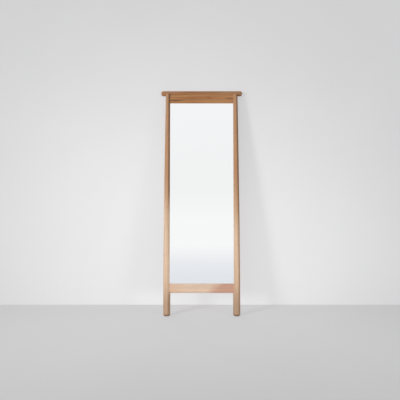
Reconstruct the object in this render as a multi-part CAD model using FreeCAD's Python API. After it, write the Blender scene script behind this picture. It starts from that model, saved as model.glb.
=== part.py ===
"""Leaning floor mirror: two turned posts, a round top bar, two rails and a mirror plate.

Sizes are in millimetres. Pieces are drawn with the frame upright: X is its width, Y its depth (front at
-Y, zero on the axes of the posts) and Z runs up the posts from the floor. lean_back() then tips them to
the angle at which the mirror stands, with the feet on the floor at Z = 0 and the wall behind at +Y.
"""
import FreeCAD, Part
import math
import os

Vector = FreeCAD.Vector

# ---- Driving dimensions ----------------------------------------------------------------------------

# the whole frame
lean_degrees = 8.7          # how far the frame tips back from upright
sight_width = 481.0         # mirror plate that shows between the posts
sight_height = 1364.0       # mirror plate that shows between the rails

# posts
leg_diameter = 53.0
post_flat = 20.5            # from the leg's axis to the flat on its inner side
taper_start = 300.0         # height at which the outer side starts to narrow
taper_power = 1.5           # the narrowing is slow at first and quicker near the top
taper_section_count = 7
post_top_reach = 12.5       # from the leg's axis to the outer side, at the top
post_top_drop = 9.0         # top of the posts below the centre of the bar
post_top_ease = 1.5         # small bevel round the top of each post
foot_round = 5.0            # rounding round the bottom of each leg

# top bar
bar_diameter = 38.0
bar_overhang = 49.0         # how far the bar runs past the axis of each leg
bar_set_back = 14.0         # centre of the bar behind the axes of the posts
bar_end_round = 16.0        # rounding of the domed ends
scoop_gap = 0.1             # between the bar and the scoops and cope that it lies in

# rails
rail_thickness = 24.0
rail_front = 16.5           # front face of the rails in front of the axes of the posts
header_height = 67.0
header_drop = 13.0          # top of the header rail below the centre of the bar
lower_rail_height = 69.0
lower_rail_clearance = 167.0  # bottom of the lower rail above the floor
bevel_height = 12.0         # bevel along the lower front edge of both rails
bevel_depth = 7.5
edge_ease = 1.5             # small bevel on the other front edges of the rails
tenon_thickness = 10.0
tenon_height = 36.0
tenon_length = 22.0
tenon_shoulder = 13.0       # from the rail's edge that faces away from the glass, or its rebate, to the tenon
mortise_end_gap = 1.0

# mirror plate and what holds it
lip_thickness = 9.0         # wood in front of the plate
rebate_width = 9.5          # how far the rebate reaches behind the sight edge
plate_thickness = 4.0
plate_edge_gap = 1.5
plate_edge_ease = 0.8
board_thickness = 4.0
block_thickness = 2.0       # setting blocks that the plate stands on
block_length = 60.0
block_inset = 110.0         # centre of each block from the edge of the sight opening
bead_setback = 0.5          # beads stay this far behind the sight edge
bead_ease = 2.5
side_bead_screws = 5
end_bead_screws = 3
bead_screw_margin = 70.0    # from the end of the sight opening to the first screw

# dowels
bar_dowel_diameter = 10.0
bar_dowel_length = 45.0
bar_dowel_inset = 4.0       # dowel's axis inward from the axis of the post
header_dowel_diameter = 6.0
header_dowel_length = 36.0
header_dowel_depth = 2.5    # dowel's axis behind the axes of the posts
header_dowel_inset = 70.5   # outer dowels from the edge of the sight opening
dowel_gap = 0.1             # radial glue gap round a dowel
dowel_end_gap = 1.0

# foot pads, and rubber buffers on the backs of the posts
foot_pad_diameter = 42.0
foot_pad_thickness = 4.0
foot_pad_ease = 1.0
bar_wall_gap = 2.0          # the buffers hold the bar this far from the wall
buffer_diameter = 18.0
buffer_below_bar = 90.0     # below the centre of the bar, along the post
buffer_seat = 6.5           # how deep the buffers are let into the posts
buffer_ease = 1.5
buffer_stem_diameter = 5.0  # screw that is moulded into the rubber
buffer_stem_length = 28.0
buffer_gap = 0.05           # round a buffer and its stem in the post

# strap hangers and their rings
hanger_inset = 60.5         # middle of each hanger from the edge of the sight opening
hanger_below_bar = 40.0     # pin of the hanger below the centre of the bar
strap_width = 12.0
strap_length = 27.0         # from the pin to the lower end
strap_sheet = 0.9           # sheet that is folded double round the ring's pin
ring_wire = 2.5
ring_width = 18.0           # between the wire's centre lines
ring_corner = 2.5
ring_height = 16.0
ring_gap = 0.2              # between the ring's wire and the strap's eye
strap_screw_drops = (8.5, 21.5)  # strap screws below the pin

# screws: shank diameter, head diameter, length
bead_screw = (2.5, 5.0, 18.0)
strap_screw = (3.0, 6.2, 16.0)
foot_screw = (3.5, 7.5, 25.0)
screw_point = 1.5           # length of the point, in shank diameters
recess_width = 0.28         # cross recess, as a share of the head's diameter
recess_thickness = 0.13
recess_depth = 0.2
screw_gap = 0.05
foot_screw_sink = 1.0       # head of the foot screw above the floor

# ---- Places worked out from them -------------------------------------------------------------------

lean = math.radians(lean_degrees)
leg_radius = leg_diameter / 2
sight_x = sight_width / 2
leg_x = sight_x + post_flat
bar_radius = bar_diameter / 2
bar_x = leg_x + bar_overhang
bar_length = 2 * bar_x
hanger_x = sight_x - hanger_inset
lower_rail_top = lower_rail_clearance + lower_rail_height
sight_top = lower_rail_top + sight_height
header_top = sight_top + header_height
bar_z = header_top + header_drop
post_top = bar_z - post_top_drop
rail_front_y = -rail_front
rail_back_y = rail_front_y + rail_thickness
plate_front_y = rail_front_y + lip_thickness
plate_back_y = plate_front_y + plate_thickness
board_back_y = plate_back_y + board_thickness
rebate_x = sight_x + rebate_width
rebate_bottom = lower_rail_top - rebate_width
rebate_top = sight_top + rebate_width
bead_screw_y = (board_back_y + rail_back_y) / 2
overrun = 20.0              # how far a cutting shape runs past what it cuts
flat = 0.01                 # an edge that spans less than this along an axis is square to it

# the standing frame: where the bar, the wall and the buffers come once the frame leans
standing_bar_y = bar_z * math.sin(lean) + bar_set_back * math.cos(lean)
standing_bar_z = bar_z * math.cos(lean) - bar_set_back * math.sin(lean)
wall_y = standing_bar_y + bar_radius + bar_wall_gap
foot_front_y = foot_round * math.sin(lean) - leg_radius * math.cos(lean)
footprint_middle_y = (foot_front_y + wall_y) / 2
buffer_z = bar_z - buffer_below_bar
standing_buffer_z = buffer_z * math.cos(lean) - leg_radius * math.sin(lean)
buffer_seat_y = buffer_z * math.sin(lean) + leg_radius * math.cos(lean) - buffer_seat


# ---- Shapes ----------------------------------------------------------------------------------------

def block(x_range, y_range, z_range):
    """A box between two values on each axis."""
    low = Vector(min(x_range), min(y_range), min(z_range))
    return Part.makeBox(abs(x_range[1] - x_range[0]), abs(y_range[1] - y_range[0]),
                        abs(z_range[1] - z_range[0]), low)


def rod(radius, start, direction, length):
    """A round rod from a point along a direction."""
    return Part.makeCylinder(radius, length, start, direction)


def extruded(points, travel):
    """A prism with a polygon outline."""
    outline = Part.makePolygon(points + points[:1])
    return Part.Face(outline).extrude(travel)


def mirrored(shape):
    """The same piece on the other side of the frame."""
    return shape.mirror(Vector(0, 0, 0), Vector(1, 0, 0))


def joined(shapes):
    """One solid made of several that touch or overlap."""
    return shapes[0].multiFuse(shapes[1:]).removeSplitter()


def spread(first, last, count):
    """Evenly spaced values from first to last."""
    step = (last - first) / (count - 1)
    return [first + step * i for i in range(count)]


def lean_back(shape):
    """Tips an upright piece to the standing angle, and moves it to the origin of the finished mirror."""
    tip = FreeCAD.Placement(Vector(0, -footprint_middle_y, 0), FreeCAD.Rotation(Vector(1, 0, 0), -lean_degrees))
    return shape.transformed(tip.toMatrix(), True)


def to_origin(shape):
    """Moves a piece drawn in the standing frame, whose y is zero on the legs' axes at the floor."""
    return shape.translated(Vector(0, -footprint_middle_y, 0))


# ---- Screws and dowels -----------------------------------------------------------------------------

def screw_body(size, head, direction, gap=0.0):
    """A countersunk screw's outline: a flat-topped cone head, a shank and a point."""
    shank_diameter, head_diameter, length = size
    shank_radius = shank_diameter / 2 + gap
    head_radius = head_diameter / 2 + gap
    cone_height = head_radius - shank_radius
    point_length = screw_point * shank_diameter
    shank = rod(shank_radius, head, direction, length - point_length + gap)
    cone = Part.makeCone(head_radius, shank_radius, cone_height, head, direction)
    point_start = head + direction * (length - point_length + gap)
    point = Part.makeCone(shank_radius, 0, point_length, point_start, direction)
    return joined([shank, cone, point])


def screw(size, head, direction):
    """A countersunk screw with a cross recess; head is the centre of the head's flat top."""
    head_diameter = size[1]
    width = recess_width * head_diameter
    thickness = recess_thickness * head_diameter / 2
    depth = recess_depth * head_diameter
    arms = [Part.makeBox(2 * a, 2 * b, 2 * depth, Vector(-a, -b, -depth))
            for a, b in ((width, thickness), (thickness, width))]
    turn = FreeCAD.Rotation(Vector(0, 0, 1), direction)
    recess = joined(arms).transformed(FreeCAD.Placement(head, turn).toMatrix(), True)
    return screw_body(size, head, direction).cut(recess)


def screw_hole(size, head, direction):
    """What a screw removes from the pieces that it passes through, with the space above its head."""
    shank_diameter, head_diameter, length = size
    above = rod(head_diameter / 2 + screw_gap, head, direction * -1, overrun)
    return joined([screw_body(size, head, direction, screw_gap), above])


def dowel(diameter, length, middle):
    """An upright dowel with eased ends."""
    pin = rod(diameter / 2, middle - Vector(0, 0, length / 2), Vector(0, 0, 1), length)
    rims = [e for e in pin.Edges if e.BoundBox.ZLength < flat]
    return pin.makeChamfer(dowel_end_gap, rims)


def dowel_hole(diameter, length, middle):
    """The two holes that a dowel fills, as one shape."""
    full = length + 2 * dowel_end_gap
    return rod(diameter / 2 + dowel_gap, middle - Vector(0, 0, full / 2), Vector(0, 0, 1), full)


bar_dowel_x = leg_x - bar_dowel_inset
bar_dowel_middles = [Vector(side * bar_dowel_x, bar_set_back, bar_z - bar_radius) for side in (-1, 1)]
header_dowel_middles = [Vector(i * (sight_x - header_dowel_inset), header_dowel_depth, bar_z - bar_radius)
                        for i in (-1, 0, 1)]


def bead_screw_places():
    """(head, direction) of each bead screw: side beads first, then the two end beads."""
    places = []
    inner_x = sight_x + bead_setback
    for z in spread(lower_rail_top + bead_screw_margin, sight_top - bead_screw_margin, side_bead_screws):
        for side in (-1, 1):
            places.append((Vector(side * inner_x, bead_screw_y, z), Vector(side, 0, 0)))
    for x in spread(bead_screw_margin - sight_x, sight_x - bead_screw_margin, end_bead_screws):
        places.append((Vector(x, bead_screw_y, sight_top + bead_setback), Vector(0, 0, 1)))
        places.append((Vector(x, bead_screw_y, lower_rail_top - bead_setback), Vector(0, 0, -1)))
    return places


bead_screw_holes = Part.makeCompound([screw_hole(bead_screw, *place) for place in bead_screw_places()])


# ---- Posts -----------------------------------------------------------------------------------------

def post_reach(z):
    """From the leg's axis to its outer side at a height."""
    share = (z - taper_start) / (post_top - taper_start)
    return leg_radius - (leg_radius - post_top_reach) * share ** taper_power


def post_outline(z, inset=0.0):
    """A post's section: half a circle on its inner side, half an ellipse on its outer side."""
    radius = leg_radius - inset
    reach = post_reach(z) - inset
    back, front = Vector(0, radius, z), Vector(0, -radius, z)
    inner = Part.Arc(front, Vector(-radius, 0, z), back).toShape()
    if reach < radius:
        ellipse = Part.Ellipse(back, Vector(reach, 0, z), Vector(0, 0, z))
        outer = Part.ArcOfEllipse(ellipse, 0, math.pi).toShape()
    else:
        outer = Part.Arc(back, Vector(radius, 0, z), front).toShape()
    return Part.Wire([inner, outer])


def tenon_range(rail_edge):
    """Heights of a tenon whose lower end stands a shoulder above rail_edge."""
    return rail_edge + tenon_shoulder, rail_edge + tenon_shoulder + tenon_height


tenon_y = (rail_front_y + rail_back_y - tenon_thickness) / 2, (rail_front_y + rail_back_y + tenon_thickness) / 2
header_tenon_z = tenon_range(sight_top)
lower_tenon_z = tenon_range(lower_rail_clearance)


def right_post():
    leg = rod(leg_radius, Vector(0, 0, -overrun), Vector(0, 0, 1), taper_start + overrun)
    rim_z = post_top - post_top_ease
    heights = spread(taper_start, rim_z, taper_section_count)
    upper = Part.makeLoft([post_outline(z) for z in heights], True, False)
    eased_top = Part.makeLoft([post_outline(rim_z), post_outline(post_top, post_top_ease)], True, True)
    post = leg.fuse(upper).fuse(eased_top)
    post.translate(Vector(leg_x, 0, 0))

    past = leg_radius + overrun
    centre = 0.0
    inner_flat = block((centre, sight_x), (-past, past), (lower_rail_clearance, post_top + overrun))
    rebate = block((centre, rebate_x), (plate_front_y, past), (rebate_bottom, rebate_top))
    mortises = [block((centre, sight_x + tenon_length + mortise_end_gap), tenon_y, heights)
                for heights in (header_tenon_z, lower_tenon_z)]
    scoop = rod(bar_radius + scoop_gap, Vector(0, bar_set_back, bar_z), Vector(1, 0, 0), bar_length)
    hole = dowel_hole(bar_dowel_diameter, bar_dowel_length, bar_dowel_middles[1])
    for cutter in [inner_flat, rebate, *mortises, scoop, hole, bead_screw_holes]:
        post = post.cut(cutter)
    return post


def finished_foot(leaned_post):
    """Cuts the leg level with its pad, rounds the edge and drills for the pad's screw."""
    box = leaned_post.BoundBox
    below = block((box.XMin - overrun, box.XMax + overrun), (box.YMin - overrun, box.YMax + overrun),
                  (-leg_diameter, foot_pad_thickness))
    foot = leaned_post.cut(below)
    rim = [e for e in foot.Edges if abs(e.BoundBox.ZMax - foot_pad_thickness) < flat]
    return foot.makeFillet(foot_round, rim)


# ---- Bar and rails ---------------------------------------------------------------------------------

def top_bar():
    bar = rod(bar_radius, Vector(-bar_x, bar_set_back, bar_z), Vector(1, 0, 0), bar_length)
    rims = [e for e in bar.Edges if e.BoundBox.XLength < flat]
    bar = bar.makeFillet(bar_end_round, rims)
    for middle in bar_dowel_middles:
        bar = bar.cut(dowel_hole(bar_dowel_diameter, bar_dowel_length, middle))
    for middle in header_dowel_middles:
        bar = bar.cut(dowel_hole(header_dowel_diameter, header_dowel_length, middle))
    return bar


def rail(profile, tenon_z):
    """A rail between the posts, from its section in Y and Z, with a tenon at each end."""
    body = extruded([Vector(-sight_x, y, z) for y, z in profile], Vector(sight_width, 0, 0))
    reach = sight_x + tenon_length
    tenons = block((-reach, reach), tenon_y, tenon_z)
    return joined([body, tenons])


def header_rail():
    profile = [
        (rail_front_y, sight_top + bevel_height),
        (rail_front_y + bevel_depth, sight_top),
        (plate_front_y, sight_top),
        (plate_front_y, rebate_top),
        (rail_back_y, rebate_top),
        (rail_back_y, header_top),
        (rail_front_y + edge_ease, header_top),
        (rail_front_y, header_top - edge_ease),
    ]
    header = rail(profile, header_tenon_z)
    cope = rod(bar_radius + scoop_gap, Vector(-bar_x, bar_set_back, bar_z), Vector(1, 0, 0), bar_length)
    header = header.cut(cope)
    for middle in header_dowel_middles:
        header = header.cut(dowel_hole(header_dowel_diameter, header_dowel_length, middle))
    for hole in hanger_screw_places():
        header = header.cut(screw_hole(strap_screw, *hole))
    return header.cut(bead_screw_holes)


def lower_rail():
    profile = [
        (rail_front_y, lower_rail_clearance + bevel_height),
        (rail_front_y + bevel_depth, lower_rail_clearance),
        (rail_back_y, lower_rail_clearance),
        (rail_back_y, rebate_bottom),
        (plate_front_y, rebate_bottom),
        (plate_front_y, lower_rail_top),
        (rail_front_y + edge_ease, lower_rail_top),
        (rail_front_y, lower_rail_top - edge_ease),
    ]
    return rail(profile, lower_tenon_z).cut(bead_screw_holes)


# ---- Mirror plate, backing board and beads ---------------------------------------------------------

plate_x = rebate_x - plate_edge_gap
plate_bottom = rebate_bottom + block_thickness
plate_top = rebate_top - plate_edge_gap


def mirror_plate():
    plate = block((-plate_x, plate_x), (plate_front_y, plate_back_y), (plate_bottom, plate_top))
    front_edges = [e for e in plate.Edges if e.BoundBox.YMax < plate_front_y + plate_edge_ease]
    return plate.makeChamfer(plate_edge_ease, front_edges)


def backing_board():
    return block((-plate_x, plate_x), (plate_back_y, board_back_y), (plate_bottom, plate_top))


def setting_blocks():
    blocks = []
    for side in (-1, 1):
        middle = side * (sight_x - block_inset)
        blocks.append(block((middle - block_length / 2, middle + block_length / 2),
                            (plate_front_y, board_back_y), (rebate_bottom, plate_bottom)))
    return Part.makeCompound(blocks)


def bead_profile(inner, outer):
    """A bead's section across the rebate (inner to outer) and in depth, eased at its inner back edge."""
    ease = math.copysign(bead_ease, outer - inner)
    return [(inner, board_back_y), (outer, board_back_y), (outer, rail_back_y),
            (inner + ease, rail_back_y), (inner, rail_back_y - bead_ease)]


def right_bead():
    profile = bead_profile(sight_x + bead_setback, rebate_x)
    bead = extruded([Vector(x, y, rebate_bottom) for x, y in profile], Vector(0, 0, rebate_top - rebate_bottom))
    return bead.cut(bead_screw_holes)


def end_bead(inner_z, outer_z):
    """A bead along a rail, between the two side beads."""
    end_x = sight_x + bead_setback
    profile = bead_profile(inner_z, outer_z)
    bead = extruded([Vector(-end_x, y, z) for z, y in profile], Vector(2 * end_x, 0, 0))
    return bead.cut(bead_screw_holes)


# ---- Strap hangers ---------------------------------------------------------------------------------

eye_inner = ring_wire / 2 + ring_gap
eye_outer = eye_inner + strap_sheet
pin_y = rail_back_y + eye_outer
pin_z = bar_z - hanger_below_bar
strap_thickness = 2 * strap_sheet


def hanger_screw_places():
    """(head, direction) of the strap screws, through each strap into the header rail."""
    return [(Vector(side * hanger_x, rail_back_y + strap_thickness, pin_z - drop), Vector(0, -1, 0))
            for side in (-1, 1) for drop in strap_screw_drops]


def right_strap():
    half = strap_width / 2
    left_x, right_x = hanger_x - half, hanger_x + half
    end_z = pin_z - strap_length
    plate = block((left_x, right_x), (rail_back_y, rail_back_y + strap_thickness), (end_z + half, pin_z))
    tip = rod(half, Vector(hanger_x, rail_back_y, end_z + half), Vector(0, 1, 0), strap_thickness)
    eye = rod(eye_outer, Vector(left_x, pin_y, pin_z), Vector(1, 0, 0), strap_width)
    bore = rod(eye_inner, Vector(left_x - overrun, pin_y, pin_z), Vector(1, 0, 0), strap_width + 2 * overrun)
    strap = joined([plate, tip, eye]).cut(bore)
    for head, direction in hanger_screw_places():
        strap = strap.cut(screw_hole(strap_screw, head, direction))
    return strap


def right_ring():
    """A D-shaped wire ring that hangs straight down from its pin, drawn in the standing frame."""
    y = pin_z * math.sin(lean) + pin_y * math.cos(lean)
    z = pin_z * math.cos(lean) - pin_y * math.sin(lean)
    half = ring_width / 2
    bow_z = half - ring_height
    diagonal = ring_corner * (1 - math.sqrt(0.5))

    def at(across, up):
        return Vector(hanger_x + across, y, z + up)

    edges = [
        Part.makeLine(at(ring_corner - half, 0), at(half - ring_corner, 0)),
        Part.Arc(at(half - ring_corner, 0), at(half - diagonal, -diagonal), at(half, -ring_corner)).toShape(),
        Part.makeLine(at(half, -ring_corner), at(half, bow_z)),
        Part.Arc(at(half, bow_z), at(0, -ring_height), at(-half, bow_z)).toShape(),
        Part.makeLine(at(-half, bow_z), at(-half, -ring_corner)),
        Part.Arc(at(-half, -ring_corner), at(diagonal - half, -diagonal), at(ring_corner - half, 0)).toShape(),
    ]
    section = Part.Wire(Part.makeCircle(ring_wire / 2, at(ring_corner - half, 0), Vector(1, 0, 0)))
    return Part.Wire(edges).makePipeShell([section], True, True)


# ---- Foot pads and wall buffers, drawn in the standing frame ---------------------------------------

foot_pad_y = foot_pad_thickness * math.tan(lean)


def foot_screw_place(side):
    return Vector(side * leg_x, foot_pad_y, foot_screw_sink), Vector(0, 0, 1)


def foot_pad(side):
    pad = rod(foot_pad_diameter / 2, Vector(side * leg_x, foot_pad_y, 0), Vector(0, 0, 1), foot_pad_thickness)
    floor_rim = [e for e in pad.Edges if e.Closed and e.BoundBox.ZMax < foot_pad_thickness / 2]
    pad = pad.makeChamfer(foot_pad_ease, floor_rim)
    return pad.cut(screw_hole(foot_screw, *foot_screw_place(side)))


def wall_buffer_shape(side, gap):
    """A buffer as a plain cylinder with its stem, or with a gap the hole that it needs in the post."""
    backwards = Vector(0, 1, 0)
    seat = Vector(side * leg_x, buffer_seat_y - gap, standing_buffer_z)
    rubber = rod(buffer_diameter / 2 + gap, seat, backwards, wall_y - seat.y)
    stem_length = buffer_stem_length + gap
    stem = rod(buffer_stem_diameter / 2 + gap, seat - backwards * stem_length, backwards, stem_length)
    return joined([rubber, stem])


def wall_buffer(side):
    buffer = wall_buffer_shape(side, 0)
    rim = [e for e in buffer.Edges if e.BoundBox.YMin > wall_y - flat]
    return buffer.makeChamfer(buffer_ease, rim)


# ---- The finished mirror ---------------------------------------------------------------------------

def finished_post(upright, side):
    foot = finished_foot(lean_back(upright))
    for hole in [screw_hole(foot_screw, *foot_screw_place(side)), wall_buffer_shape(side, buffer_gap)]:
        foot = foot.cut(to_origin(hole))
    return foot


def all_pieces():
    post = right_post()
    strap = right_strap()
    ring = right_ring()
    bead = right_bead()
    upright = {
        "top_bar": top_bar(),
        "header_rail": header_rail(),
        "lower_rail": lower_rail(),
        "mirror_plate": mirror_plate(),
        "backing_board": backing_board(),
        "setting_blocks": setting_blocks(),
        "left_bead": mirrored(bead),
        "right_bead": bead,
        "top_bead": end_bead(sight_top + bead_setback, rebate_top),
        "bottom_bead": end_bead(lower_rail_top - bead_setback, rebate_bottom),
        "bead_screws": Part.makeCompound([screw(bead_screw, *place) for place in bead_screw_places()]),
        "bar_dowels": Part.makeCompound([dowel(bar_dowel_diameter, bar_dowel_length, middle)
                                         for middle in bar_dowel_middles]),
        "header_dowels": Part.makeCompound([dowel(header_dowel_diameter, header_dowel_length, middle)
                                            for middle in header_dowel_middles]),
        "left_hanger_strap": mirrored(strap),
        "right_hanger_strap": strap,
        "hanger_screws": Part.makeCompound([screw(strap_screw, *place) for place in hanger_screw_places()]),
    }
    standing = {
        "left_hanger_ring": mirrored(ring),
        "right_hanger_ring": ring,
        "left_foot_pad": foot_pad(-1),
        "right_foot_pad": foot_pad(1),
        "foot_pad_screws": Part.makeCompound([screw(foot_screw, *foot_screw_place(side)) for side in (-1, 1)]),
        "left_wall_buffer": wall_buffer(-1),
        "right_wall_buffer": wall_buffer(1),
    }
    pieces = {name: lean_back(shape) for name, shape in upright.items()}
    pieces.update({name: to_origin(shape) for name, shape in standing.items()})
    pieces["left_post"] = finished_post(mirrored(post), -1)
    pieces["right_post"] = finished_post(post, 1)
    return pieces


os.makedirs("parts", exist_ok=True)
for name, shape in all_pieces().items():
    if not shape.isValid() or not shape.Solids:
        raise ValueError(name + " isn't a sound solid")
    shape.exportStep("parts/" + name + ".step")
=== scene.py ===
"""Leaning floor mirror: oak posts, round top bar, two rails and a tall mirror plate, on a plain pale stage.

Laid out as an add-on and run as a script. The frame comes first. Each operator then makes or finishes one
piece, or one group of like pieces. Wooden pieces are drawn upright, with z up the posts from the floor,
y zero on the posts' axes and the front at -y, and are then leaned back into place.
"""
import math
from contextlib import contextmanager

import bmesh
import bpy
from bpy.props import FloatProperty, FloatVectorProperty, PointerProperty
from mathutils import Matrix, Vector


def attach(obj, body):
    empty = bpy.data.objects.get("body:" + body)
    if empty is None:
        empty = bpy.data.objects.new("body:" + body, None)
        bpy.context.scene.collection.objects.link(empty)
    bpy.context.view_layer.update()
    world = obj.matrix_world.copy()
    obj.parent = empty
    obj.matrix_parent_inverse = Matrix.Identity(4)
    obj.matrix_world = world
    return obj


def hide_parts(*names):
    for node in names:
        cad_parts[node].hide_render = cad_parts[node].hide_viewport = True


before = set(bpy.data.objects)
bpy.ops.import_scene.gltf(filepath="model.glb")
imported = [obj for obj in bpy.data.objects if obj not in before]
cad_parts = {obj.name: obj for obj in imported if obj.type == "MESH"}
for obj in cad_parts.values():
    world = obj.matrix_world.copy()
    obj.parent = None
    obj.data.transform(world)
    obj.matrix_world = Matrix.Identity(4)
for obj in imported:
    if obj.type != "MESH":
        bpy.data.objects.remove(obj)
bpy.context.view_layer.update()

bl_info = {
    "name": "Leaning floor mirror",
    "version": (1, 0, 0),
    "blender": (4, 5, 0),
    "location": "3D View > Sidebar > Floor mirror",
    "description": "Makes the pieces of a leaning floor mirror over its fixed frame",
    "category": "Object",
}

BODY = "frame"              # all but the hangers' rings ride on it
CLOSE = 1e-5                # two places nearer than this are the same
UP, ACROSS, BACKWARDS = Vector((0, 0, 1)), Vector((1, 0, 0)), Vector((0, 1, 0))

# how the pieces go together, in metres
FIT = 0.00005               # play round a piece in its hole
SPARE = 0.02                # how far a blank or a tool runs past the work
BAR_ABOVE_HEADER = 0.013
POST_TOP_BELOW_BAR = 0.009
PLATE_THICKNESS = 0.004
TENON_HALF_THICKNESS = 0.005
TENON_LENGTH = 0.022
TENON_LOW, TENON_HIGH = 0.013, 0.049    # above the rail's lower edge
BAR_OFF_WALL = 0.002
FOOT_PAD_HEIGHT = 0.004
BUFFER_BELOW_BAR = 0.09
BUFFER_SEAT_DEPTH = 0.0065
STEM_RADIUS, STEM_LENGTH = 0.0025, 0.028


def screen_colour(red, green, blue):
    """The colour that shows as these 0-255 screen values."""
    shares = [value / 255 for value in (red, green, blue)]
    return tuple(s / 12.92 if s <= 0.04045 else ((s + 0.055) / 1.055) ** 2.4 for s in shares)


# ---- Sizes and colours that a user may change --------------------------------------------------------

def length(name, description, default):
    return FloatProperty(name=name, description=description, default=default, min=0.0, precision=4,
                         subtype="DISTANCE", unit="LENGTH")


def colour(name, description, *values):
    """A colour given by its 0-255 screen values."""
    return FloatVectorProperty(name=name, description=description, default=screen_colour(*values), size=3,
                               min=0.0, max=1.0, subtype="COLOR")


class FloorMirrorSizes(bpy.types.PropertyGroup):
    lean: FloatProperty(name="Lean", description="How far the mirror tips back from upright",
                        default=math.radians(8.7), subtype="ANGLE", unit="ROTATION")
    sight_width: length("Sight width", "Mirror that shows between the posts", 0.481)
    sight_height: length("Sight height", "Mirror that shows between the rails", 1.364)
    leg_diameter: length("Leg diameter", "Posts below their taper", 0.053)
    post_flat: length("Post flat", "From the leg's axis to the flat on its inner side", 0.0205)
    taper_start: length("Taper start", "Height at which the posts' outer sides start to narrow", 0.3)
    post_top_reach: length("Post top reach", "From the leg's axis to its outer side, at the top", 0.0125)
    foot_round: length("Foot rounding", "Rounding round the bottom of each leg", 0.005)
    bar_diameter: length("Bar diameter", "The round bar across the top", 0.038)
    bar_overhang: length("Bar overhang", "How far the bar runs past each leg's axis", 0.049)
    bar_set_back: length("Bar set back", "Centre of the bar behind the legs' axes", 0.014)
    bar_end_round: length("Bar end rounding", "Rounding of the bar's domed ends", 0.016)
    rail_thickness: length("Rail thickness", "Front to back", 0.024)
    rail_front: length("Rail front", "Front of the rails before the legs' axes", 0.0165)
    header_height: length("Header height", "Rail above the mirror", 0.067)
    lower_rail_height: length("Lower rail height", "Rail below the mirror", 0.069)
    lower_rail_clearance: length("Lower rail clearance", "Under the lower rail, along the posts", 0.167)
    bevel_height: length("Bevel height", "Bevel along the rails' lower front edges", 0.012)
    bevel_depth: length("Bevel depth", "Bevel along the rails' lower front edges", 0.0075)
    edge_ease: length("Edge ease", "Rounding of the rails' other front edges and the posts' tops", 0.0015)
    arris: length("Arris", "Sanding of the sharp edges along the grain", 0.0007)
    rebate_width: length("Rebate width", "How far the rebate reaches behind the sight edge", 0.0095)
    lip_thickness: length("Lip thickness", "Wood in front of the mirror plate", 0.009)
    buffer_diameter: length("Buffer diameter", "Rubber wall buffers behind the posts", 0.018)


class FloorMirrorFinishes(bpy.types.PropertyGroup):
    oak_pale: colour("Pale oak", "Posts and lower rail", 230, 203, 177)
    oak_deep: colour("Deep oak", "Darker streaks of the posts and lower rail", 206, 170, 138)
    # Upper oak is partly the wood's own tone and partly painted shade towards the posts' tops
    oak_upper: colour("Upper oak", "Posts towards their tops", 195, 152, 117)
    oak_foot: colour("Foot oak", "Posts towards the floor", 196, 163, 134)
    oak_rail: colour("Lower rail oak", "Middle of the lower rail", 233, 203, 178)
    oak_header: colour("Header oak", "The header rail", 189, 137, 90)
    oak_header_deep: colour("Deep header oak", "Darker streaks of the header rail", 158, 103, 59)
    oak_knot: colour("Knot", "Dark streaks in the header rail and posts", 98, 58, 32)
    # Painted shade: the dark tone of the posts' shaded right-facing sides and of their bottom edges
    painted_shade_tone: colour("Painted shade", "Darker band along the posts' upper halves", 126, 84, 54)
    oak_bar: colour("Bar oak", "The top bar", 183, 139, 101)
    oak_red: colour("Red oak tone", "The redder end of the lower rail", 204, 158, 136)
    oak_peach: colour("Peach oak tone", "The left end of the lower rail", 222, 184, 152)
    silver: colour("Mirror silver", "What the mirror does to what it reflects", 247, 248, 248)
    glass_edge: colour("Glass edge", "Polished edge of the mirror plate", 150, 182, 168)
    hardboard: colour("Hardboard", "Backing board", 152, 118, 86)
    dowel: colour("Dowel wood", "Beech dowels", 214, 182, 148)
    rubber: colour("Rubber", "Foot pads, wall buffers and setting blocks", 52, 50, 49)
    steel: colour("Plated steel", "Screws, strap hangers and their rings", 190, 192, 196)
    wall: colour("Wall", "Backdrop", 237, 237, 238)
    floor: colour("Floor", "Floor", 230, 230, 231)


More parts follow.
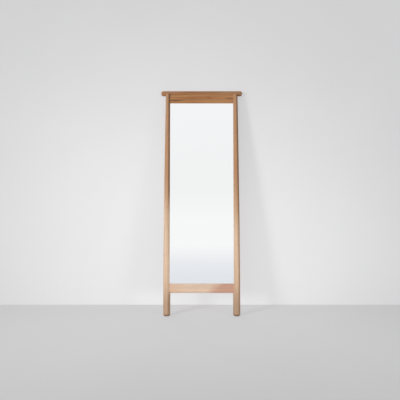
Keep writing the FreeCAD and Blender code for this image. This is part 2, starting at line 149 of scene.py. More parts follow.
class Layout:
    """Places worked out from the sizes, in metres, with the mirror drawn upright."""

    def __init__(self, sizes):
        self.lean = sizes.lean
        self.leg_radius = sizes.leg_diameter / 2
        self.bar_radius = sizes.bar_diameter / 2
        self.sight_x = sizes.sight_width / 2
        self.leg_x = self.sight_x + sizes.post_flat
        self.bar_x = self.leg_x + sizes.bar_overhang
        self.lower_rail_bottom = sizes.lower_rail_clearance
        self.lower_rail_top = self.lower_rail_bottom + sizes.lower_rail_height
        self.sight_top = self.lower_rail_top + sizes.sight_height
        self.header_top = self.sight_top + sizes.header_height
        self.bar_z = self.header_top + BAR_ABOVE_HEADER
        self.post_top = self.bar_z - POST_TOP_BELOW_BAR
        self.bar_axis = Vector((0, sizes.bar_set_back, self.bar_z))
        self.rail_front_y = -sizes.rail_front
        self.rail_back_y = self.rail_front_y + sizes.rail_thickness
        self.plate_y = self.rail_front_y + sizes.lip_thickness
        self.plate_back_y = self.plate_y + PLATE_THICKNESS
        self.rebate_x = self.sight_x + sizes.rebate_width
        self.rebate_bottom = self.lower_rail_top - sizes.rebate_width
        self.rebate_top = self.sight_top + sizes.rebate_width
        middle_y = (self.rail_front_y + self.rail_back_y) / 2
        self.tenon_y = middle_y - TENON_HALF_THICKNESS, middle_y + TENON_HALF_THICKNESS
        self.tenon_reach = self.sight_x + TENON_LENGTH
        # the standing mirror: wall, footprint and buffers
        sine, cosine = math.sin(self.lean), math.cos(self.lean)
        self.foot_z = FOOT_PAD_HEIGHT
        self.wall_y = self.bar_z * sine + sizes.bar_set_back * cosine + self.bar_radius + BAR_OFF_WALL
        foot_front_y = sizes.foot_round * sine - self.leg_radius * cosine
        self.footprint_middle = (foot_front_y + self.wall_y) / 2
        buffer_z = self.bar_z - BUFFER_BELOW_BAR
        self.buffer_z = buffer_z * cosine - self.leg_radius * sine
        self.buffer_seat_y = buffer_z * sine + self.leg_radius * cosine - BUFFER_SEAT_DEPTH

    def tenon_heights(self, rail_edge):
        return rail_edge + TENON_LOW, rail_edge + TENON_HIGH

    def post_reach(self, height, sizes):
        """From the leg's axis to its outer side at a height."""
        share = max(0.0, height - sizes.taper_start) / (self.post_top - sizes.taper_start)
        return self.leg_radius - (self.leg_radius - sizes.post_top_reach) * share ** 1.5


def drawing(context):
    """The sizes, the places that follow from them, and the finishes."""
    sizes = context.scene.floor_mirror_sizes
    return sizes, Layout(sizes), context.scene.floor_mirror_finishes


# ---- Modelling ---------------------------------------------------------------------------------------

def make_active(piece):
    """Selects this piece and nothing else."""
    if bpy.context.object is not None and bpy.context.object.mode != "OBJECT":
        bpy.ops.object.mode_set(mode="OBJECT")
    bpy.ops.object.select_all(action="DESELECT")
    piece.select_set(True)
    bpy.context.view_layer.objects.active = piece


def place_in_mesh(piece):
    """Moves the object's place, turn and scale into its mesh."""
    make_active(piece)
    bpy.ops.object.transform_apply(location=True, rotation=True, scale=True)
    return piece


def box_blank(name, low, high):
    """A block between two corners, ready to be shaped."""
    bpy.ops.object.select_all(action="DESELECT")
    low, high = Vector(low), Vector(high)
    bpy.ops.mesh.primitive_cube_add(size=1, location=(low + high) / 2, scale=high - low)
    piece = bpy.context.object
    piece.name = name
    return place_in_mesh(piece)


def round_blank(name, radius, start, end, sides):
    """A round blank between two points, ready to be shaped."""
    bpy.ops.object.select_all(action="DESELECT")
    start, end = Vector(start), Vector(end)
    bpy.ops.mesh.primitive_cone_add(
        vertices=sides, radius1=radius, radius2=radius, depth=(end - start).length, location=(start + end) / 2,
        rotation=(end - start).to_track_quat("Z", "Y").to_euler())
    piece = bpy.context.object
    piece.name = name
    return place_in_mesh(piece)


@contextmanager
def editing(piece):
    make_active(piece)
    bpy.ops.object.mode_set(mode="EDIT")
    yield
    bpy.ops.object.mode_set(mode="OBJECT")


def pick(piece, kind, test):
    """In edit mode, selects only the verts, edges or faces that pass the test."""
    bpy.ops.mesh.select_mode(type={"verts": "VERT", "edges": "EDGE", "faces": "FACE"}[kind])
    bpy.ops.mesh.select_all(action="DESELECT")
    shape = bmesh.from_edit_mesh(piece.data)
    found = [item for item in getattr(shape, kind) if test(item)]
    if not found:
        raise RuntimeError(f"{piece.name}: no {kind} where the next step needs them")
    for item in found:
        item.select_set(True)
    shape.select_flush_mode()
    bmesh.update_edit_mesh(piece.data)


def lies_on(item, axis, value):
    """All the corners of an edge or face have this value on one axis."""
    return all(abs(vert.co[axis] - value) < CLOSE for vert in item.verts)


def runs_along(edge, axis):
    way = edge.verts[1].co - edge.verts[0].co
    return abs(way[axis]) > 0.999 * way.length


def ease(piece, offset, test, segments=2):
    """In edit mode, rounds the edges that pass the test."""
    pick(piece, "edges", test)
    bpy.ops.mesh.bevel(offset=offset, segments=segments, profile=0.5, affect="EDGES", clamp_overlap=False)


def plane_off(piece, point, normal):
    """Saws a plane through the piece and takes away what lies in front of it."""
    with editing(piece):
        bpy.ops.mesh.select_all(action="SELECT")
        bpy.ops.mesh.bisect(plane_co=point, plane_no=normal, use_fill=True, clear_outer=True, threshold=1e-6)


def combine(piece, tool, operation):
    change = piece.modifiers.new("shape", "BOOLEAN")
    change.operation = operation
    change.solver = "EXACT"
    change.object = tool
    make_active(piece)
    bpy.ops.object.modifier_apply(modifier=change.name)
    bpy.data.meshes.remove(tool.data)


def cut(piece, tool):
    combine(piece, tool, "DIFFERENCE")


def lean_back(piece, layout):
    """From the upright drawing to the standing mirror."""
    piece.rotation_euler = (-layout.lean, 0, 0)
    piece.location = (0, -layout.footprint_middle, 0)
    place_in_mesh(piece)


def mirrored_copy(piece, name):
    """The same piece on the other side, with a mesh of its own."""
    twin = piece.copy()
    twin.data = piece.data.copy()
    twin.name = name
    bpy.context.scene.collection.objects.link(twin)
    twin.scale = (-1, 1, 1)
    place_in_mesh(twin)
    face_outwards(twin)
    return twin


def face_outwards(piece):
    with editing(piece):
        bpy.ops.mesh.select_all(action="SELECT")
        bpy.ops.mesh.remove_doubles(threshold=1e-6)
        bpy.ops.mesh.normals_make_consistent(inside=False)


def finish_piece(piece, node, material):
    """Smooth shading, finish and place in the frame of a piece that stands for a CAD node."""
    make_active(piece)
    bpy.ops.object.shade_smooth_by_angle(angle=math.radians(30))
    piece.data.name = piece.name
    piece.data.materials.clear()
    piece.data.materials.append(material)
    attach(piece, BODY)
    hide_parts(node)


# ---- Materials ---------------------------------------------------------------------------------------

def add_node(tree, kind, inputs=None, **settings):
    """A node with its settings, and its inputs set to values or linked to sockets."""
    made = tree.nodes.new(kind)
    for key, value in settings.items():
        setattr(made, key, value)
    for key, value in (inputs or {}).items():
        if isinstance(value, bpy.types.NodeSocket):
            tree.links.new(value, made.inputs[key])
        else:
            made.inputs[key].default_value = value
    return made


def calculate(tree, operation, *values, clamp=False):
    made = add_node(tree, "ShaderNodeMath", dict(enumerate(values)), operation=operation, use_clamp=clamp)
    return made.outputs[0]


def vector_step(tree, operation, *values, output=0):
    made = add_node(tree, "ShaderNodeVectorMath", dict(enumerate(values)), operation=operation)
    return made.outputs[output]


def part_of(tree, vector, axis):
    return add_node(tree, "ShaderNodeSeparateXYZ", {0: vector}).outputs[axis]


def as_grey(tree, value):
    return add_node(tree, "ShaderNodeCombineColor", {0: value, 1: value, 2: value}).outputs[0]


def stretch(tree, vector, scale, place=(0, 0, 0), turn=(0, 0, 0)):
    made = add_node(tree, "ShaderNodeMapping",
                    {"Vector": vector, "Scale": scale, "Location": place, "Rotation": turn})
    return made.outputs[0]


def noise(tree, vector, scale, detail=2.0, roughness=0.5, output="Fac"):
    """Noise at one scale, or at one for each axis."""
    if isinstance(scale, tuple):
        vector, scale = stretch(tree, vector, scale), 1.0
    made = add_node(tree, "ShaderNodeTexNoise",
                    {"Vector": vector, "Scale": scale, "Detail": detail, "Roughness": roughness})
    return made.outputs[output]


def between(tree, value, low, high, to_low=0.0, to_high=1.0, smooth=True):
    """Follows a value from low to high, held at both ends."""
    made = add_node(tree, "ShaderNodeMapRange",
                    {"Value": value, "From Min": low, "From Max": high, "To Min": to_low, "To Max": to_high},
                    interpolation_type="SMOOTHSTEP" if smooth else "LINEAR")
    return made.outputs[0]


def blend_colours(tree, share, first, second, how="MIX"):
    made = add_node(tree, "ShaderNodeMix", {0: share, 6: opaque(first), 7: opaque(second)},
                    data_type="RGBA", blend_type=how)
    return made.outputs[2]


def opaque(value):
    return value if isinstance(value, bpy.types.NodeSocket) else (*value[:3], 1.0)


def shaded(tone, share):
    return tuple(share * value for value in tone)


def new_material(name):
    material = bpy.data.materials.new(name)
    material.use_nodes = True
    tree = material.node_tree
    tree.nodes.clear()
    shader = add_node(tree, "ShaderNodeBsdfPrincipled")
    add_node(tree, "ShaderNodeOutputMaterial", {"Surface": shader.outputs[0]})
    return material, tree, shader


def paint(tree, shader, tone, rough):
    tree.links.new(tone, shader.inputs["Base Color"])
    tree.links.new(rough, shader.inputs["Roughness"])


def roughen(tree, shader, height, depth):
    bump = add_node(tree, "ShaderNodeBump", {"Height": height, "Strength": 1.0, "Distance": depth})
    tree.links.new(bump.outputs[0], shader.inputs["Normal"])


def object_place(tree):
    return add_node(tree, "ShaderNodeTexCoord").outputs["Object"]


def upright_place(tree, layout):
    """A point's place on the upright drawing, in metres."""
    sine, cosine = math.sin(layout.lean), math.cos(layout.lean)
    shift = (0, layout.footprint_middle * cosine, layout.footprint_middle * sine)
    return stretch(tree, object_place(tree), (1, 1, 1), shift, (layout.lean, 0, 0))


def oak_grain_group():
    """Oak's rings, pores, fibres and broad streaks. The grain runs along z and the tree's middle is on the z axis."""
    name = "Oak grain"
    if name in bpy.data.node_groups:
        return bpy.data.node_groups[name]
    tree = bpy.data.node_groups.new(name, "ShaderNodeTree")
    for label, kind in (("Grain", "NodeSocketVector"), ("Pale", "NodeSocketColor"), ("Deep", "NodeSocketColor"),
                        ("Swirl", "NodeSocketFloat"), ("Stain", "NodeSocketFloat")):
        tree.interface.new_socket(label, in_out="INPUT", socket_type=kind)
    for label, kind in (("Colour", "NodeSocketColor"), ("Roughness", "NodeSocketFloat"),
                        ("Height", "NodeSocketFloat")):
        tree.interface.new_socket(label, in_out="OUTPUT", socket_type=kind)
    given = add_node(tree, "NodeGroupInput")
    place = given.outputs["Grain"]

    # the grain wanders a little along its length
    wander = noise(tree, place, (14, 14, 2.2), output="Color")
    wander = vector_step(tree, "SUBTRACT", wander, (0.5, 0.5, 0.5))
    wander = vector_step(tree, "MULTIPLY", wander, (0.012, 0.012, 0))
    place = vector_step(tree, "ADD", place, wander)

    # yearly rings, wide and narrow years, each with an open early part and a dense late part
    flat_place = vector_step(tree, "MULTIPLY", place, (1, 1, 0))
    radius = vector_step(tree, "LENGTH", flat_place, output="Value")
    years = calculate(tree, "MULTIPLY", radius, 330.0)
    uneven = add_node(tree, "ShaderNodeTexNoise", {"W": years, "Scale": 0.31, "Detail": 1.0},
                      noise_dimensions="1D").outputs["Fac"]
    years = calculate(tree, "MULTIPLY_ADD", uneven, 2.6, years)
    years = calculate(tree, "ADD", years, given.outputs["Swirl"])
    season = calculate(tree, "FRACT", years)
    early = between(tree, season, 0.45, 0.02)
    closing = between(tree, season, 0.93, 1.0)
    early = calculate(tree, "MAXIMUM", early, closing)

    # pores: short dark lines, most of them in the early part of each ring
    pores = noise(tree, place, (1500, 1500, 42), detail=1.0)
    pores = between(tree, pores, 0.56, 0.68)
    share = calculate(tree, "MULTIPLY_ADD", early, 0.85, 0.15)
    pores = calculate(tree, "MULTIPLY", pores, share)

    fibres = noise(tree, place, (520, 520, 7), detail=3.0, roughness=0.6)
    rays = noise(tree, place, (240, 1400, 260), detail=1.0)
    rays = between(tree, rays, 0.66, 0.76)
    streaks = noise(tree, place, (62, 62, 1.9), detail=3.0, roughness=0.55)
    streaks = between(tree, streaks, 0.34, 0.68)
    drift = noise(tree, place, (9, 9, 3.0), detail=1.0)
    drift = between(tree, drift, 0.3, 0.7)

    depth = calculate(tree, "MULTIPLY", streaks, 0.55)
    depth = calculate(tree, "MULTIPLY_ADD", drift, 0.35, depth)
    depth = calculate(tree, "ADD", depth, given.outputs["Stain"], clamp=True)
    tone = blend_colours(tree, depth, given.outputs["Pale"], given.outputs["Deep"])
    ring_dark = calculate(tree, "MULTIPLY_ADD", early, -0.13, 1.03)
    fibre_dark = calculate(tree, "MULTIPLY_ADD", fibres, 0.16, 0.92)
    pore_dark = calculate(tree, "MULTIPLY_ADD", pores, -0.34, 1.0)
    light = calculate(tree, "MULTIPLY", ring_dark, fibre_dark)
    light = calculate(tree, "MULTIPLY", light, pore_dark)
    light = calculate(tree, "MULTIPLY_ADD", rays, 0.07, light)
    finished = blend_colours(tree, 1.0, tone, as_grey(tree, light), "MULTIPLY")

    rough = calculate(tree, "MULTIPLY_ADD", early, 0.07, 0.47)
    rough = calculate(tree, "MULTIPLY_ADD", pores, 0.18, rough)
    rough = calculate(tree, "MULTIPLY_ADD", fibres, 0.08, rough)
    height = calculate(tree, "MULTIPLY_ADD", pores, -1.0, 1.0)
    height = calculate(tree, "MULTIPLY_ADD", early, -0.18, height)
    height = calculate(tree, "MULTIPLY_ADD", fibres, 0.22, height)
    add_node(tree, "NodeGroupOutput", {"Colour": finished, "Roughness": rough, "Height": height})
    return tree


def oak_shader(tree, shader, grain, pale, deep, swirl=0.0, stain=0.0, mark=0.0, mark_tone=(0, 0, 0)):
    """Finishes a material as oiled oak from a grain vector and two tones, with dark marks where mark is 1."""
    group = add_node(tree, "ShaderNodeGroup", {"Grain": grain, "Pale": opaque(pale), "Deep": opaque(deep),
                                               "Swirl": swirl, "Stain": stain}, node_tree=oak_grain_group())
    tone = blend_colours(tree, mark, group.outputs["Colour"], mark_tone)
    paint(tree, shader, tone, group.outputs["Roughness"])
    shader.inputs["Specular IOR Level"].default_value = 0.42
    roughen(tree, shader, group.outputs["Height"], 0.00018)


def along_z(tree, place, heart, tilt=0.0):
    """Grain up the posts; heart is how far the tree's middle lies from the piece's, in x and y."""
    return stretch(tree, place, (1, 1, 1), (-heart[0], -heart[1], 0), (tilt, tilt, 0))


def along_x(tree, place, heart, tilt=0.0):
    """Grain along a rail or the bar; heart is the height and depth of the tree's middle."""
    return stretch(tree, place, (1, 1, 1), (heart[0], -heart[1], 0.7), (0, -math.pi / 2 + tilt, tilt))


def spot(tree, place, centre, reach):
    """1 at a centre, falling smoothly to 0 at its reach along each axis."""
    scale = tuple(1 / r for r in reach)
    shift = tuple(-c / r for c, r in zip(centre, reach))
    near = stretch(tree, place, scale, shift)
    distance = vector_step(tree, "LENGTH", near, output="Value")
    return between(tree, distance, 1.0, 0.0)


def post_material(name, side, layout, finishes):
    material, tree, shader = new_material(name)
    place = upright_place(tree, layout)
    height = part_of(tree, place, 2)
    # Darker towards the tops, partly the oak's own tone and partly painted shade; darker towards the floor
    raised = between(tree, height, 0.58, 1.12)
    low = between(tree, height, 0.26, 0.06)
    pale = blend_colours(tree, raised, finishes.oak_pale, finishes.oak_upper)
    pale = blend_colours(tree, low, pale, finishes.oak_foot)
    warm = tuple(0.62 * u + 0.38 * d for u, d in zip(finishes.oak_upper, finishes.oak_header_deep))
    deep = blend_colours(tree, raised, finishes.oak_deep, warm)
    deep = blend_colours(tree, low, deep, shaded(finishes.oak_foot, 0.82))
    # Painted shade: a dark band along each post's right-facing side, which faces away from the left light
    across = part_of(tree, place, 0)
    if side > 0:
        # on the right post its outer side, darker higher up
        narrowed = between(tree, height, 0.3, layout.post_top, 0.0, 0.0125, smooth=False)
        across = calculate(tree, "ADD", across, narrowed)
        band = between(tree, across, layout.leg_x + 0.010, layout.leg_x + 0.022)
        strength = between(tree, height, 0.4, 1.0, 0.5, 1.0)
    else:
        # on the left post its inner side by the mirror, in the upper part and under the lower rail
        band = between(tree, across, -layout.sight_x - 0.016, -layout.sight_x - 0.006)
        strength = between(tree, height, 0.72, 0.95)
        under_rail = between(tree, height, layout.lower_rail_bottom + 0.02, layout.lower_rail_bottom - 0.02, 0.0, 0.4)
        strength = calculate(tree, "MAXIMUM", strength, under_rail)
    frayed = noise(tree, place, (160, 160, 5), detail=3)
    band = calculate(tree, "MULTIPLY", band, strength)
    band = calculate(tree, "MULTIPLY", band, between(tree, frayed, 0.2, 0.6, 0.5, 0.95))
    # Painted shade along the bottom edge of each foot, where it meets the floor
    foot_shade = between(tree, height, 0.018, 0.006, 0.0, 0.55)
    band = calculate(tree, "MAXIMUM", band, foot_shade)
    grain = along_z(tree, place, (side * 0.19, 0.055), 0.012 * side)
    oak_shader(tree, shader, grain, pale, deep, stain=0.38 if side > 0 else 0.08, mark=band,
               mark_tone=finishes.painted_shade_tone)
    return material


def bar_material(layout, finishes):
    material, tree, shader = new_material("Bar oak")
    place = upright_place(tree, layout)
    grain = along_x(tree, place, (layout.bar_z - 0.07, 0.09), 0.02)
    oak_shader(tree, shader, grain, finishes.oak_bar, finishes.oak_header_deep)
    return material


def header_material(layout, finishes):
    """Lively oak with two knots and a dark streak near each end."""
    material, tree, shader = new_material("Header oak")
    place = upright_place(tree, layout)
    front = layout.rail_front_y
    knots = [spot(tree, place, (x, front, layout.sight_top + z), reach) for x, z, reach in (
        (-0.075, 0.036, (0.055, 0.05, 0.026)), (0.064, 0.040, (0.045, 0.05, 0.022)))]
    streaks = [spot(tree, place, (x, front, layout.sight_top + z), reach) for x, z, reach in (
        (-0.203, 0.0205, (0.095, 0.03, 0.0105)), (0.214, 0.037, (0.055, 0.03, 0.0105)),
        (0.052, 0.041, (0.022, 0.03, 0.008)))]
    swirl = calculate(tree, "ADD", *knots)
    mark = calculate(tree, "ADD", streaks[0], calculate(tree, "MULTIPLY", streaks[1], 0.75))
    mark = calculate(tree, "MULTIPLY_ADD", streaks[2], 0.45, mark)
    frayed = noise(tree, place, (18, 400, 400))
    mark = calculate(tree, "MULTIPLY", mark, between(tree, frayed, 0.2, 0.5, 0.5, 1.0), clamp=True)
    stain = calculate(tree, "MULTIPLY_ADD", swirl, 0.12, -0.12)
    swirl = calculate(tree, "MULTIPLY", swirl, 5.0)
    grain = along_x(tree, place, (layout.sight_top - 0.02, 0.05), 0.03)
    oak_shader(tree, shader, grain, finishes.oak_header, finishes.oak_header_deep, swirl, stain, mark,
               finishes.oak_knot)
    return material


def lower_rail_material(layout, finishes):
    """Pale in the middle, deeper to the left, and redder past a slanting line near the right end."""
    material, tree, shader = new_material("Lower rail oak")
    place = upright_place(tree, layout)
    across = part_of(tree, place, 0)
    slanted = calculate(tree, "MULTIPLY_ADD", part_of(tree, place, 2), -0.9, across)
    ragged = noise(tree, place, (9, 60, 75), detail=4, roughness=0.6)
    slanted = calculate(tree, "MULTIPLY_ADD", ragged, 0.11, slanted)
    start = 0.125 - 0.9 * (layout.lower_rail_bottom + 0.03)
    right = between(tree, slanted, start - 0.03, start + 0.07)
    left = between(tree, across, -0.08, -0.24)
    pale = blend_colours(tree, right, finishes.oak_rail, finishes.oak_red)
    pale = blend_colours(tree, left, pale, finishes.oak_peach)
    deep = blend_colours(tree, right, shaded(finishes.oak_rail, 0.82), shaded(finishes.oak_red, 0.86))
    grain = along_x(tree, place, (layout.lower_rail_bottom - 0.03, 0.075), 0.025)
    oak_shader(tree, shader, grain, pale, deep)
    return material


def bead_material(name, upright, layout, finishes):
    material, tree, shader = new_material(name)
    place = upright_place(tree, layout)
    grain = along_z(tree, place, (0.4, 0.08)) if upright else along_x(tree, place, (0.2, 0.08))
    oak_shader(tree, shader, grain, finishes.oak_deep, finishes.oak_upper)
    return material


def mirror_material(layout, finishes):
    """Silvered front, polished glass edge and a painted back."""
    material, tree, shader = new_material("Mirror plate")
    place = upright_place(tree, layout)
    depth = part_of(tree, place, 1)
    edge = between(tree, depth, layout.plate_y + 0.00008, layout.plate_y + 0.0002)
    painted = between(tree, depth, layout.plate_back_y - 0.0002, layout.plate_back_y - 0.00008)
    haze = noise(tree, place, (3, 3, 2))
    share = calculate(tree, "MULTIPLY", haze, 0.5)
    tint = blend_colours(tree, share, finishes.silver, shaded(finishes.silver, 0.985))
    tint = blend_colours(tree, edge, tint, finishes.glass_edge)
    tint = blend_colours(tree, painted, tint, screen_colour(104, 108, 112))
    tree.links.new(calculate(tree, "SUBTRACT", 1.0, edge), shader.inputs["Metallic"])
    rough = calculate(tree, "MULTIPLY_ADD", haze, 0.012, 0.006)
    rough = calculate(tree, "MULTIPLY_ADD", edge, 0.12, rough)
    rough = calculate(tree, "MULTIPLY_ADD", painted, 0.35, rough)
    paint(tree, shader, tint, rough)
    return material


def hardboard_material(finishes):
    material, tree, shader = new_material("Hardboard")
    place = object_place(tree)
    mottle = noise(tree, place, 7, detail=6, roughness=0.68)
    fibres = noise(tree, place, 900, detail=3, roughness=0.7)
    darker = shaded(finishes.hardboard, 0.8)
    tone = blend_colours(tree, between(tree, mottle, 0.2, 0.8, smooth=False), finishes.hardboard, darker)
    fleck = between(tree, fibres, 0.54, 0.7)
    tone = blend_colours(tree, calculate(tree, "MULTIPLY", fleck, 0.4), tone, screen_colour(184, 150, 112))
    paint(tree, shader, tone, calculate(tree, "MULTIPLY_ADD", mottle, 0.14, 0.62))
    roughen(tree, shader, fibres, 0.00012)
    return material


def dowel_material(finishes):
    material, tree, shader = new_material("Beech dowel")
    place = object_place(tree)
    flecks = between(tree, noise(tree, place, (1500, 1500, 160), detail=1), 0.6, 0.72)
    tone = noise(tree, place, (120, 120, 14))
    deep = shaded(finishes.dowel, 0.78)
    colour_out = blend_colours(tree, tone, finishes.dowel, deep)
    colour_out = blend_colours(tree, calculate(tree, "MULTIPLY", flecks, 0.4), colour_out,
                               screen_colour(150, 104, 72))
    paint(tree, shader, colour_out, calculate(tree, "MULTIPLY_ADD", tone, 0.15, 0.5))
    roughen(tree, shader, flecks, 0.00005)
    return material


def rubber_material(finishes):
    material, tree, shader = new_material("Rubber")
    place = object_place(tree)
    speckle = noise(tree, place, 2600, roughness=0.6)
    bloom = noise(tree, place, 70, detail=3)
    pale = tuple(min(1.0, 1.9 * c) for c in finishes.rubber)
    tone = blend_colours(tree, between(tree, bloom, 0.42, 0.75, 0.0, 0.5), finishes.rubber, pale)
    paint(tree, shader, tone, calculate(tree, "MULTIPLY_ADD", bloom, 0.25, 0.55))
    roughen(tree, shader, speckle, 0.00006)
    return material


def steel_material(finishes):
    """Zinc-plated steel, with a faintly uneven sheen."""
    material, tree, shader = new_material("Plated steel")
    place = object_place(tree)
    cloud = noise(tree, place, 320, detail=3)
    grain = noise(tree, place, 4200, detail=1)
    warm = tuple(c * f for c, f in zip(finishes.steel, (0.92, 0.88, 0.8)))
    tone = blend_colours(tree, between(tree, cloud, 0.4, 0.72, 0.0, 0.6), finishes.steel, warm)
    shader.inputs["Metallic"].default_value = 1.0
    paint(tree, shader, tone, calculate(tree, "MULTIPLY_ADD", cloud, 0.22, 0.24))
    roughen(tree, shader, grain, 0.00002)
    return material


def dress(material, *names):
    """Gives carried-over CAD nodes their finish."""
    for name in names:
        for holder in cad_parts[name].material_slots:
            holder.material = material


# ---- Operators ---------------------------------------------------------------------------------------

class MIRROR_OT_stage(bpy.types.Operator):
    """Makes the pale floor and wall, the soft lights and the camera"""
    bl_idname = "floor_mirror.stage"
    bl_label = "Stage"

    def execute(self, context):
        _, layout, finishes = drawing(context)
        context.scene.view_settings.view_transform = "Standard"
        self.camera(context.scene)
        self.floor(finishes)
        self.wall(layout, finishes)
        self.lights()
        self.surroundings(context.scene)
        return {"FINISHED"}

    def camera(self, scene):
        bpy.ops.object.select_all(action="DESELECT")
        bpy.ops.object.camera_add(location=(-0.0128, -4.1318, 1.216), rotation=(math.radians(84.97), 0, 0))
        camera = bpy.context.object
        camera.name = "camera"
        camera.data.sensor_width = 36.0
        camera.data.lens = 49.41
        scene.camera = camera

    def backdrop_material(self, name, tone, middle, reach, own_share, one_sided):
        """Painted pool of light: palest round a middle, darker towards the edges. What the camera, glass and metal
        see is partly its own tone and partly lit.
        """
        material, tree, shader = new_material(name)
        place = object_place(tree)
        mottle = noise(tree, place, 1.7, detail=3)
        # Painted pool of light: the tone falls to 0.86 of itself away from the middle, with a faint mottle
        share = calculate(tree, "MULTIPLY_ADD", mottle, 0.3, spot(tree, place, middle, reach))
        tone = blend_colours(tree, share, shaded(tone, 0.86), tone)
        tree.links.new(tone, shader.inputs["Base Color"])
        shader.inputs["Roughness"].default_value = 0.9
        shader.inputs["Specular IOR Level"].default_value = 0.15
        ray = add_node(tree, "ShaderNodeLightPath")
        seen = calculate(tree, "ADD", ray.outputs["Is Camera Ray"], ray.outputs["Is Glossy Ray"])
        seen = calculate(tree, "ADD", seen, ray.outputs["Is Transmission Ray"], clamp=True)
        own = add_node(tree, "ShaderNodeEmission", {"Color": tone})
        share = calculate(tree, "MULTIPLY", seen, own_share)
        surface = add_node(tree, "ShaderNodeMixShader", {0: share, 1: shader.outputs[0], 2: own.outputs[0]})
        if one_sided:
            behind = add_node(tree, "ShaderNodeNewGeometry").outputs["Backfacing"]
            clear = add_node(tree, "ShaderNodeBsdfTransparent")
            surface = add_node(tree, "ShaderNodeMixShader",
                               {0: behind, 1: surface.outputs[0], 2: clear.outputs[0]})
        output = next(n for n in tree.nodes if n.type == "OUTPUT_MATERIAL")
        tree.links.new(surface.outputs[0], output.inputs["Surface"])
        return material

    def floor(self, finishes):
        bpy.ops.mesh.primitive_plane_add(size=16, location=(0, 0, -0.0002))
        floor = place_in_mesh(bpy.context.object)
        floor.name = "floor"
        floor.data.materials.append(self.backdrop_material("Floor", finishes.floor, (-0.3, 0.0, 0.0),
                                                           (3.0, 3.0, 3.0), 0.44, False))

    def wall(self, layout, finishes):
        """Seen from the front only, and out of the way of the light that reaches the mirror's back."""
        y = layout.wall_y - layout.footprint_middle + 0.0003
        bpy.ops.mesh.primitive_plane_add(size=16, location=(0, y, 8), rotation=(math.pi / 2, 0, 0))
        wall = place_in_mesh(bpy.context.object)
        wall.name = "wall"
        wall.data.materials.append(self.backdrop_material("Wall", finishes.wall, (-0.1, 0.15, 0.4),
                                                          (2.3, 2.1, 2.3), 0.58, True))
        wall.visible_shadow = False
        wall.visible_diffuse = False

    def lights(self):
        for name, place, aim, width, height, spread, power in (
                ("left_light", (-4.4, -3.8, 1.8), (0, 0, 0.7), 1.2, 1.9, 46, 12.6),
                ("low_right_light", (3.3, -2.7, 0.75), (0, 0, 0.35), 1.4, 0.8, 40, 3.2)):
            bpy.ops.object.light_add(type="AREA", location=place)
            light = bpy.context.object
            light.name = name
            light.rotation_euler = (Vector(aim) - Vector(place)).to_track_quat("-Z", "Y").to_euler()
            light.data.shape = "RECTANGLE"
            light.data.size = width
            light.data.size_y = height
            light.data.spread = math.radians(spread)
            light.data.energy = power
            light.visible_glossy = False    # no lamp shows in the mirror

    def surroundings(self, scene):
        """Soft light, stronger from the left front and from behind. Glass and metal see a pale room instead."""
        world = bpy.data.worlds.new("Pale room")
        scene.world = world
        world.use_nodes = True
        tree = world.node_tree
        tree.nodes.clear()
        way = add_node(tree, "ShaderNodeTexCoord").outputs["Generated"]
        low_front = self.brightness(tree, way, (-0.30, -0.95, 0.0), 2.0)
        side = self.brightness(tree, way, (-0.85, -0.45, 0.25), 1.0)
        rise = part_of(tree, way, 2)
        band = between(tree, rise, 0.62, 0.02)
        low_front = calculate(tree, "MULTIPLY", low_front, band)
        behind = self.brightness(tree, way, (0.0, 1.0, 0.1), 1.0)
        soft = calculate(tree, "MULTIPLY_ADD", low_front, 1.25, 0.22)
        soft = calculate(tree, "MULTIPLY_ADD", side, 0.1, soft)
        soft = calculate(tree, "MULTIPLY_ADD", behind, 0.75, soft)
        ramp = add_node(tree, "ShaderNodeValToRGB", {0: rise})
        stops = ramp.color_ramp.elements
        stops[0].color = opaque(screen_colour(229, 231, 236))
        stops[1].color = opaque(screen_colour(246, 247, 249))
        for place, tone in ((0.063, (231, 234, 239)), (0.096, (238, 240, 244)), (0.132, (255, 255, 255)),
                            (0.177, (255, 255, 255)), (0.232, (249, 249, 249)), (0.366, (251, 251, 252))):
            stops.new(place).color = opaque(screen_colour(*tone))
        ray = add_node(tree, "ShaderNodeLightPath")
        shown = calculate(tree, "ADD", ray.outputs["Is Glossy Ray"], ray.outputs["Is Transmission Ray"], clamp=True)
        light = blend_colours(tree, shown, as_grey(tree, soft), ramp.outputs[0])
        light = blend_colours(tree, ray.outputs["Is Camera Ray"], light, screen_colour(238, 239, 241))
        light = add_node(tree, "ShaderNodeBackground", {"Color": light, "Strength": 1.0})
        add_node(tree, "ShaderNodeOutputWorld", {"Surface": light.outputs[0]})

    def brightness(self, tree, way, towards, sharpness):
        """1 straight towards a direction, falling to 0 at right angles to it."""
        facing = vector_step(tree, "DOT_PRODUCT", way, Vector(towards).normalized(), output="Value")
        return calculate(tree, "POWER", calculate(tree, "MAXIMUM", facing, 0.0), sharpness)


